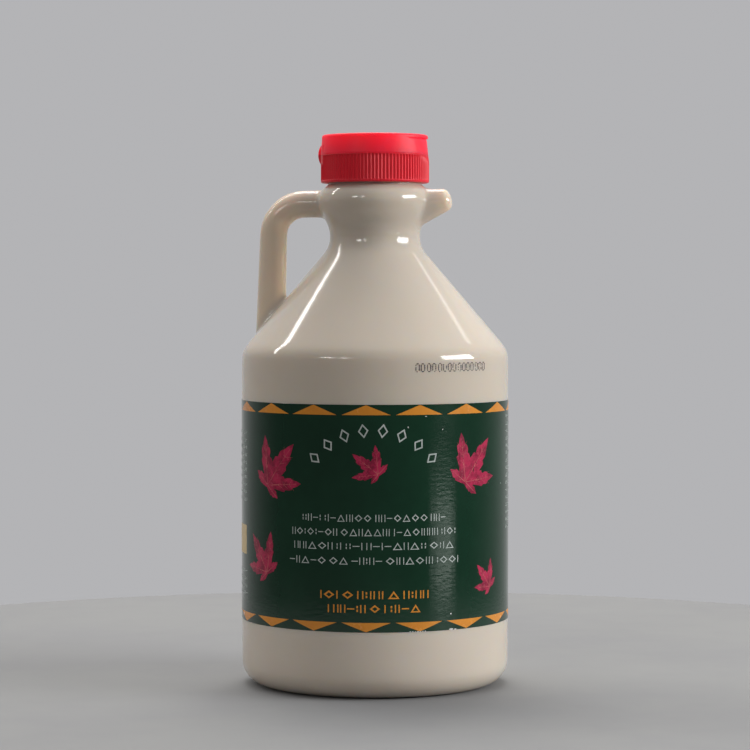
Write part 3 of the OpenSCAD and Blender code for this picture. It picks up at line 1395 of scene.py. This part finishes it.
@dataclass(frozen=True)
class Leaf:
    """A printed leaf of plain design: pointed, toothed lobes that spread from a hub.

    A lobe and a corner of the foot are each an angle in degrees and a distance
    from the hub in millimetres. A tooth is shares of the lobe's half width and length.
    """

    across: float
    up: float
    size: float
    turn: float = 0.0
    mirrored: bool = False
    lobes: tuple[Span, ...] = ((-53, 8.6), (-5, 18.3), (41, 20.6), (86, 16.7), (130, 7.3))
    small_lobe: float = 10.0
    half_widths: Span = (17.0, 24.0)
    sinus: float = 0.50
    teeth: tuple[Span, ...] = (
        (1.06, 0.56), (0.72, 0.58), (0.70, 0.68), (0.56, 0.76), (0.38, 0.77), (0.22, 0.88),
    )
    foot: tuple[Span, ...] = ((172, 1.9), (205, 0.9), (-95, 2.1))
    midrib: float = 0.30
    side_vein: float = 0.15
    branches: tuple[float, ...] = (0.34, 0.52, 0.68)
    vein_taper: float = 0.3
    blotches: int = 5
    seed: int = 3

    def at(self, angle: float, reach: float) -> Span:
        """Places a point of the leaf.

        Args:
            angle: Its angle from straight up, clockwise, in degrees.
            reach: Its distance from the hub.

        Returns:
            Where it is, across and up.
        """
        turned_by = math.radians((-angle if self.mirrored else angle) + self.turn)
        reach *= self.size
        return self.across + reach * math.sin(turned_by), self.up + reach * math.cos(turned_by)

    def outline(self) -> list[Span]:
        """Draws the leaf's outline.

        Returns:
            Its points, round the lobes from the lowest on one side to the lowest on the other.
        """
        rng = random.Random(self.seed)
        points = []
        for i, (angle, reach) in enumerate(self.lobes):
            wide = self.half_widths[0] if reach > self.small_lobe else self.half_widths[1]
            for sign in (-1, 1):
                edge = []
                for spread, share in self.teeth:
                    turned_by = angle + sign * wide * spread * rng.uniform(0.94, 1.06)
                    edge.append((turned_by, reach * share * rng.uniform(0.98, 1.02)))
                points += edge if sign < 0 else edge[::-1]
                if sign < 0:
                    points.append((angle, reach))
            if i + 1 < len(self.lobes):
                next_angle, next_reach = self.lobes[i + 1]
                points.append(((angle + next_angle) / 2, self.sinus * min(reach, next_reach)))
        return [self.at(angle, reach) for angle, reach in (*points, *self.foot)]

    def vein(self, sheet: InkSheet, start: Span, end: Span, width: float) -> None:
        """Draws one tapering vein between two points given as (angle, distance).

        Args:
            sheet: The sheet that it is drawn on.
            start: Where it starts.
            end: Where it ends.
            width: Its width at the start, in millimetres.
        """
        (x0, y0), (x1, y1) = self.at(*start), self.at(*end)
        length = math.hypot(x1 - x0, y1 - y0)
        nx, ny = -(y1 - y0) / length * width / 2, (x1 - x0) / length * width / 2
        tx, ty = nx * self.vein_taper, ny * self.vein_taper
        sheet.shape([(x0 - nx, y0 - ny), (x1 - tx, y1 - ty), (x1 + tx, y1 + ty), (x0 + nx, y0 + ny)])

    def draw(self, body: InkSheet, veins: InkSheet, blotches: InkSheet) -> None:
        """Draws the leaf, its veins and its dark blotches.

        Args:
            body: The sheet of the leaf's own ink.
            veins: The sheet of its veins.
            blotches: The sheet of its blotches.
        """
        body.shape(self.outline())
        rng = random.Random(self.seed + 11)
        for angle, reach in self.lobes:
            self.vein(veins, (angle, 0.3), (angle, reach * 0.88), self.midrib * math.sqrt(self.size))
            if reach < self.small_lobe:
                continue
            for share in self.branches:
                for sign in (-1, 1):
                    tip = (angle + sign * rng.uniform(8, 10.5), reach * (share + 0.14))
                    self.vein(veins, (angle, reach * share), tip, self.side_vein * math.sqrt(self.size))
        for _ in range(self.blotches):
            angle, reach = rng.choice(self.lobes[1:4])
            x, y = self.at(angle + rng.uniform(-7, 7), reach * rng.uniform(0.28, 0.6))
            long = rng.uniform(0.3, 0.75) * self.size
            blotches.blob(rng, (x, y), (0.35 * long, long), 0.55, 7)


@dataclass(frozen=True)
class Line:
    """A line of plain marks, in millimetres.

    It has its two ends, the height of its middle, how many marks each group
    has, a seed for which marks they are, their height and their stroke.
    """

    left: float
    right: float
    up: float
    words: Sequence[int]
    seed: int
    height: float = 2.6
    stroke: float = 0.30


@dataclass(frozen=True)
class Panel:
    """A panel of small print, in millimetres: its near and far ends, its top and its rows."""

    near: float
    far: float
    top: float
    rows: int


@dataclass
class Label:
    """The wrap-around film and everything printed on it."""

    low: float
    high: float
    wall_r: float
    heading: float
    film: float = 0.10 * MM
    clearance: float = 0.03 * MM
    border_count: int = 16
    border_offset: float = math.radians(-3.7)
    border_half: float = math.radians(10.2)
    border_h_mm: float = 3.7
    border_gaps_mm: Span = (0.1, 0.15)
    arch_middle: Span = (-0.7, 68.9)
    arch_r_mm: float = 28.6
    arch_angles: tuple[float, ...] = tuple(-49.7 + 14.2 * k for k in range(8))
    lozenge_half_mm: Span = (1.9, 2.6)
    lozenge_share: float = 0.68
    mark_gap: float = 0.20
    group_gap: float = 0.50
    pale_lines: tuple[Line, ...] = (
        Line(-27.6, 26.7, 66.0, (5, 8, 8, 3), 20),
        Line(-32.0, 31.1, 60.9, (8, 7, 8, 4), 21),
        Line(-31.1, 30.2, 55.9, (6, 2, 4, 9, 4), 22),
        Line(-33.2, 32.4, 50.6, (6, 2, 5, 8, 4), 23),
    )
    gold_lines: tuple[Line, ...] = (
        Line(-20.4, 19.8, 38.4, (3, 1, 5, 1, 4), 31, height=2.9, stroke=0.46),
        Line(-17.5, 16.7, 33.4, (1, 5, 1, 1, 5), 32, height=2.9, stroke=0.46),
    )
    panels: tuple[Panel, ...] = (
        Panel(-62.0, -112.0, 95.0, 10), Panel(-62.0, -112.0, 43.6, 4), Panel(66.0, 114.0, 101.0, 16),
    )
    small_h_mm: float = 1.3
    small_stroke_mm: float = 0.2
    small_pitch_mm: float = 2.75
    overlap_mm: float = 8.0
    leaves: tuple[Leaf, ...] = (
        Leaf(-44.9, 76.6, 1.0, 0.0),
        Leaf(35.6, 78.2, 0.99, -1.0, seed=5),
        Leaf(1.2, 81.7, 0.58, -11.0, mirrored=True, seed=7),
        Leaf(-45.2, 44.7, 0.83, 3.0, mirrored=True, seed=9),
        Leaf(49.9, 39.1, 0.57, -2.0, mirrored=True, seed=12),
        Leaf(128.0, 74.0, 0.9, 8.0, seed=15),
        Leaf(-134.0, 48.0, 0.7, -14.0, mirrored=True, seed=17),
    )

    @property
    def face_r(self) -> float:
        """The radius of the film's printed face."""
        return self.wall_r + self.clearance + self.film

    def sheet(self) -> InkSheet:
        """A new sheet for shapes on the film."""
        return InkSheet(self.face_r, self.heading)

    def build_film(self, shop: Workshop) -> bpy.types.Object:
        """Builds the film, a thin sleeve whose overlap lies at the back.

        Args:
            shop: The workshop that makes it a piece.

        Returns:
            The film.
        """
        inner, outer = self.wall_r + self.clearance, self.face_r
        edge = 0.03 * MM
        bm = turned(rounded([
            Corner(inner, self.low),
            Corner(outer - edge, self.low),
            Corner(outer, self.low + edge, cuts=8),
            Corner(outer, self.high - edge),
            Corner(outer - edge, self.high),
            Corner(inner, self.high),
        ]), 288, closed=True)
        return shop.piece("label_film", bm, LABEL_GREEN, sharp=30, stands_for=["label"])

    def draw_borders(self, sheet: InkSheet) -> None:
        """Draws the two rows of triangles whose points touch the label's edges.

        Args:
            sheet: The sheet that they are drawn on.
        """
        low, high = self.low / MM, self.high / MM
        gap_high, gap_low = self.border_gaps_mm
        rows = (
            (high - gap_high, high - self.border_h_mm),
            (low + gap_low, low + self.border_h_mm - 0.2),
        )
        pitch = TAU / self.border_count
        scale = self.face_r / MM
        half = self.border_half * scale
        for k in range(-self.border_count // 2, self.border_count // 2):
            middle = (self.border_offset + k * pitch) * scale
            for point, base in rows:
                sheet.shape([(middle - half, base), (middle + half, base), (middle, point)])

    def draw_arc(self, sheet: InkSheet) -> None:
        """Draws the arch of open lozenges over the small leaf.

        Args:
            sheet: The sheet that they are drawn on.
        """
        wide, tall = self.lozenge_half_mm
        for angle in self.arch_angles:
            turn = math.radians(angle)
            out = Vector((math.sin(turn), math.cos(turn)))
            along = Vector((out.y, -out.x))
            middle = Vector(self.arch_middle) + out * self.arch_r_mm
            steps = (out * tall, along * wide, out * -tall, along * -wide)
            sheet.loop([middle + step for step in steps], middle, self.lozenge_share)

    def draw_line(self, sheet: InkSheet, line: Line) -> None:
        """Draws one line of plain marks in groups.

        Args:
            sheet: The sheet that it is drawn on.
            line: The line.
        """
        rng = random.Random(line.seed)
        kinds = [[rng.choice(list(Mark)) for _ in range(count)] for count in line.words]
        gap, space = self.mark_gap * line.height, self.group_gap * line.height
        solid = sum(kind.value * line.height for group in kinds for kind in group)
        gaps = space * (len(line.words) - 1) + gap * sum(count - 1 for count in line.words)
        stretch = (line.right - line.left - gaps) / solid
        x = line.left
        for group in kinds:
            for kind in group:
                x = sheet.mark(kind, x, line.up, line.height, stretch, line.stroke) + gap
            x += space - gap

    def draw_sides(self, pale: InkSheet, cream: InkSheet) -> None:
        """Draws the small print of the two sides, which runs on toward the back, and the cream patch.

        Args:
            pale: The sheet of the small print.
            cream: The sheet of the patch.
        """
        small = {"height": self.small_h_mm, "stroke": self.small_stroke_mm}
        rng = random.Random(41)
        for panel in self.panels:
            for row in range(panel.rows):
                end = panel.far + rng.uniform(0.0, 14.0) * (1 if panel.far < 0 else -1)
                left, right = min(panel.near, end), max(panel.near, end)
                words = [rng.randint(3, 8) for _ in range(6)]
                up = panel.top - self.small_pitch_mm * row
                self.draw_line(pale, Line(left, right, up, words, 50 + row, **small))
        cream.bar(-70.4, 55.2, 15.4, 10.8)
        for row in range(3):
            self.draw_line(pale, Line(-104.0, -82.0, 59.0 - 3.6 * row, (6, 5, 7), 80 + row, **small))

    def build_overlap(self, shop: Workshop) -> None:
        """Builds the strip at the back where the film's end lies over its start.

        Args:
            shop: The workshop that makes it a piece.
        """
        sheet = self.sheet()
        half_way = math.pi * self.face_r / MM
        height = (self.high - self.low) / MM
        sheet.bar(half_way - self.overlap_mm / 2, self.low / MM + height / 2, self.overlap_mm, height - 0.1)
        shop.piece("label_overlap", sheet.wrap(Ink.FILM), LABEL_GREEN, sharp=30)

    def draw_chips(self, sheet: InkSheet) -> None:
        """Draws the chips at the label's lower edge, where its white core shows, and a few nicks.

        Args:
            sheet: The sheet that they are drawn on.
        """
        rng = random.Random(8)
        foot = self.low / MM
        marks = [(29.3, foot + 0.30, 1.25, 0.42), (31.0, foot + 0.18, 0.6, 0.22), (29.0, 30.8, 0.34, 0.34)]
        marks += [
            (12.8 + 0.95 * k, foot + 0.12, rng.uniform(0.25, 0.55), rng.uniform(0.12, 0.24)) for k in range(7)
        ]
        marks += [(25.4, 97.6, 0.24, 0.22), (18.7, 102.4, 0.42, 0.16), (12.0, 98.6, 0.2, 0.42)]
        for x, y, wide, tall in marks:
            sheet.blob(rng, (x, y), (wide, tall), 0.6, 9, foot)

    def build(self, shop: Workshop) -> None:
        """Builds the film and its printed layers.

        Args:
            shop: The workshop that makes them pieces.
        """
        self.build_film(shop)
        self.build_overlap(shop)
        gold, leaf, vein, blotch, pale, cream, bare = (self.sheet() for _ in range(7))
        self.draw_borders(gold)
        self.draw_arc(pale)
        for line in self.pale_lines:
            self.draw_line(pale, line)
        for line in self.gold_lines:
            self.draw_line(gold, line)
        self.draw_sides(pale, cream)
        for item in self.leaves:
            item.draw(leaf, vein, blotch)
        self.draw_chips(bare)
        for name, sheet, ink in (
            ("label_gold", gold, Ink.GOLD), ("label_leaves", leaf, Ink.LEAF), ("label_veins", vein, Ink.VEIN),
            ("label_blotches", blotch, Ink.BLOTCH), ("label_pale", pale, Ink.PALE),
            ("label_cream", cream, Ink.CREAM), ("label_chips", bare, Ink.BARE),
        ):
            shop.piece(name, sheet.wrap(ink), ink.value.finish, sharp=30)


@dataclass
class JettedCode:
    """The row of plain zeros that is jetted onto the wall over the label, dot by dot."""

    wall_r: float
    heading: float
    left_mm: float = 14.9
    middle_mm: float = 119.9
    drop_mm: float = -0.1
    pitch_mm: float = 0.43
    row_stretch: float = 1.08
    numeral_step: float = 4.75
    group_step: float = 0.8
    jitter_mm: float = 0.04
    missing: float = 0.10
    dot_mm: Span = (0.19, 0.26)
    groups: tuple[int, ...] = (2, 2, 4, 4, 3)

    def build(self, shop: Workshop) -> bpy.types.Object:
        """Builds the dots of every numeral.

        Args:
            shop: The workshop that makes them a piece.

        Returns:
            The code.
        """
        sheet = InkSheet(self.wall_r, self.heading)
        rng = random.Random(6)
        zero = [(column, row) for column in (0, 3) for row in range(1, 6)]
        zero += [(1, 0), (2, 0), (1, 6), (2, 6)]
        jitter = self.jitter_mm
        x = self.left_mm
        total = sum(self.groups)
        done = 0
        for count in self.groups:
            for _ in range(count):
                sag = self.drop_mm * done / total
                for column, row in zero:
                    if rng.random() < self.missing:
                        continue
                    across = x + column * self.pitch_mm + rng.uniform(-jitter, jitter)
                    rise = (3 - row) * self.pitch_mm * self.row_stretch
                    up = self.middle_mm - sag + rise + rng.uniform(-jitter, jitter)
                    sheet.disc(across, up, rng.uniform(*self.dot_mm))
                x += self.numeral_step * self.pitch_mm
                done += 1
            x += self.group_step * self.pitch_mm
        return shop.piece("jetted_code", sheet.wrap(Ink.CODE), CODE_INK, sharp=30)


# ---------------------------------------------------------------- the studio


@dataclass(frozen=True)
class Softbox:
    """A rectangular light that faces the jug: its place, its width and height, its radiance and its tint.

    The place is given as seen from the camera: right, toward the camera and up from the jug's middle.
    """

    name: str
    place: tuple[float, float, float]
    size: tuple[float, float]
    radiance: float
    tint: Colour = (1.0, 0.98, 0.95)
    aim: tuple[float, float, float] = (0.0, 0.0, 0.0)


@dataclass
class Studio:
    """The floor, the lights and the camera."""

    heading: float
    camera_distance: float = 1.022
    camera_height: float = 0.1503
    camera_dip: float = math.radians(1.939)
    lens_mm: float = 130.55
    floor_r: float = 0.30
    floor_h: float = 0.02
    backdrop: Colour = (0.455, 0.455, 0.468)
    aim: Vector = field(default_factory=lambda: Vector((0, 0, 0.13)))
    room_glow: float = 0.08
    wall_glow: float = 0.42
    wall_power: float = 1.3
    ceiling_glow: float = 0.62
    ceiling_power: float = 1.5
    boxes: tuple[Softbox, ...] = (
        Softbox("overhead strip", (-1.77, -0.842, 1.6), (4.25, 0.125), 18.0, aim=(-1.77, 0, 0)),
        Softbox("overhead panel", (0.0, -0.88, 1.6), (1.0, 1.3), 4.5),
        Softbox("overhead right", (1.41, -1.22, 1.6), (0.5, 0.13), 2.6),
        Softbox("key window", (1.497, 0.350, 0.425), (0.92, 0.42), 18.6, tint=(0.99, 1.0, 1.0)),
        Softbox("low window", (1.386, 0.80, -0.225), (0.40, 0.06), 1.9, tint=(0.92, 1.0, 0.92)),
        Softbox("low window edge", (1.376, 0.82, -0.225), (0.70, 0.06), 1.7, tint=(0.92, 1.0, 0.92)),
        Softbox("front left lamp", (-1.012, 1.124, 0.521), (0.31, 0.12), 14.0),
        Softbox("faint front lamp", (-0.663, 1.360, 0.521), (0.20, 0.26), 5.0),
    )

    def world_point(self, right: float, toward: float, up: float) -> Vector:
        """Turns camera-wise coordinates into the row frame."""
        c, s = math.cos(self.heading), math.sin(self.heading)
        return Vector((right * c + toward * s, right * s - toward * c, up))

    def add_floor(self, shop: Workshop) -> None:
        """Adds the plain round floor.

        Args:
            shop: The workshop that makes its material.
        """
        bm = bmesh.new()
        bmesh.ops.create_circle(bm, cap_ends=True, segments=180, radius=self.floor_r)
        made = bmesh.ops.extrude_face_region(bm, geom=list(bm.faces))
        foot = [item for item in made["geom"] if isinstance(item, BMVert)]
        bmesh.ops.translate(bm, vec=-self.floor_h * UP, verts=foot)
        bmesh.ops.recalc_face_normals(bm, faces=bm.faces)
        mesh = bpy.data.meshes.new("floor")
        bm.to_mesh(mesh)
        bm.free()
        mesh.materials.append(shop.material(FLOOR_FINISH))
        floor = bpy.data.objects.new("floor", mesh)
        bpy.context.scene.collection.objects.link(floor)

    def add_lights(self) -> None:
        """Adds the softboxes, each turned to face the jug."""
        for box in self.boxes:
            data = bpy.data.lights.new(box.name, "AREA")
            data.shape = "RECTANGLE"
            data.size, data.size_y = box.size
            data.energy = box.radiance * math.pi * box.size[0] * box.size[1]
            data.color = box.tint
            light = bpy.data.objects.new(box.name, data)
            bpy.context.scene.collection.objects.link(light)
            place = self.world_point(*box.place)
            back = (place - self.world_point(*box.aim)).normalized()
            side = UP.cross(back).normalized()
            light.location = self.aim + place
            light.visible_camera = False
            light.rotation_euler = Matrix((side, back.cross(side), back)).transposed().to_euler()

    def add_world(self) -> None:
        """Sets the grey surroundings: a pale backdrop to look at, dimmer for what it lights."""
        world = bpy.data.worlds.new("studio")
        world.use_nodes = True
        world.node_tree.nodes.clear()
        desk = NodeDesk(world.node_tree)
        seen = desk.add("ShaderNodeLightPath").outputs["Is Camera Ray"]
        way = desk.add("ShaderNodeTexCoord").outputs["Generated"]
        rise = desk.axes(way)["Z"]
        behind = desk.add("ShaderNodeVectorMath", operation="DOT_PRODUCT")
        desk.feed(behind, in_0=way, in_1=self.world_point(0, -1, 0))
        wall = desk.math("POWER", desk.math("MAXIMUM", behind.outputs["Value"], 0.0), self.wall_power)
        ceiling = desk.math("POWER", desk.math("MAXIMUM", rise, 0.0), self.ceiling_power)
        glow = desk.plus(desk.times(wall, self.wall_glow), desk.times(ceiling, self.ceiling_glow))
        level = desk.plus(glow, self.room_glow)
        grey = desk.feed(desk.add("ShaderNodeCombineColor"), Red=level, Green=level, Blue=level)
        colour = desk.mix(seen, grey.outputs["Color"], (*self.backdrop, 1))
        background = desk.feed(desk.add("ShaderNodeBackground"), Color=colour, Strength=1.0)
        desk.feed(desk.add("ShaderNodeOutputWorld"), Surface=background.outputs[0])
        bpy.context.scene.world = world
        bpy.context.scene.view_settings.view_transform = "Standard"

    def add_camera(self) -> None:
        """Adds the camera at its height and distance, dipped toward the jug."""
        data = bpy.data.cameras.new("camera")
        data.lens = self.lens_mm
        data.sensor_width = 36.0
        camera = bpy.data.objects.new("camera", data)
        bpy.context.scene.collection.objects.link(camera)
        camera.location = self.world_point(0, self.camera_distance, self.camera_height)
        camera.rotation_euler = (math.pi / 2 - self.camera_dip, 0, self.heading)
        bpy.context.scene.camera = camera

    def build(self, shop: Workshop) -> None:
        """Sets up the whole studio.

        Args:
            shop: The workshop that makes the floor's material.
        """
        self.add_floor(shop)
        self.add_lights()
        self.add_world()
        self.add_camera()


# ---------------------------------------------------------------- the whole


def main() -> None:
    """Builds the jug from its bottle up, then the studio round it."""
    logging.basicConfig(level=logging.INFO, format="%(message)s")
    heading = math.radians(12)
    shop = Workshop()
    jug_low, jug_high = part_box("jug")
    label_low, label_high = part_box("label")
    cap_low, cap_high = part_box("cap")
    lid_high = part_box("lid")[1]
    wall_r = round(jug_high[0], 4)
    Studio(heading=heading).build(shop)
    Bottle(body_r=wall_r, neck_top=jug_high[2]).build(shop)
    closure = Closure(skirt_z=cap_low[2], seam_z=cap_high[2], top_z=lid_high[2])
    closure.build_skirt(shop)
    closure.build_lid(shop)
    Label(low=label_low[2], high=label_high[2], wall_r=wall_r, heading=heading).build(shop)
    JettedCode(wall_r=wall_r, heading=heading).build(shop)


if __name__ == "__main__":
    main()
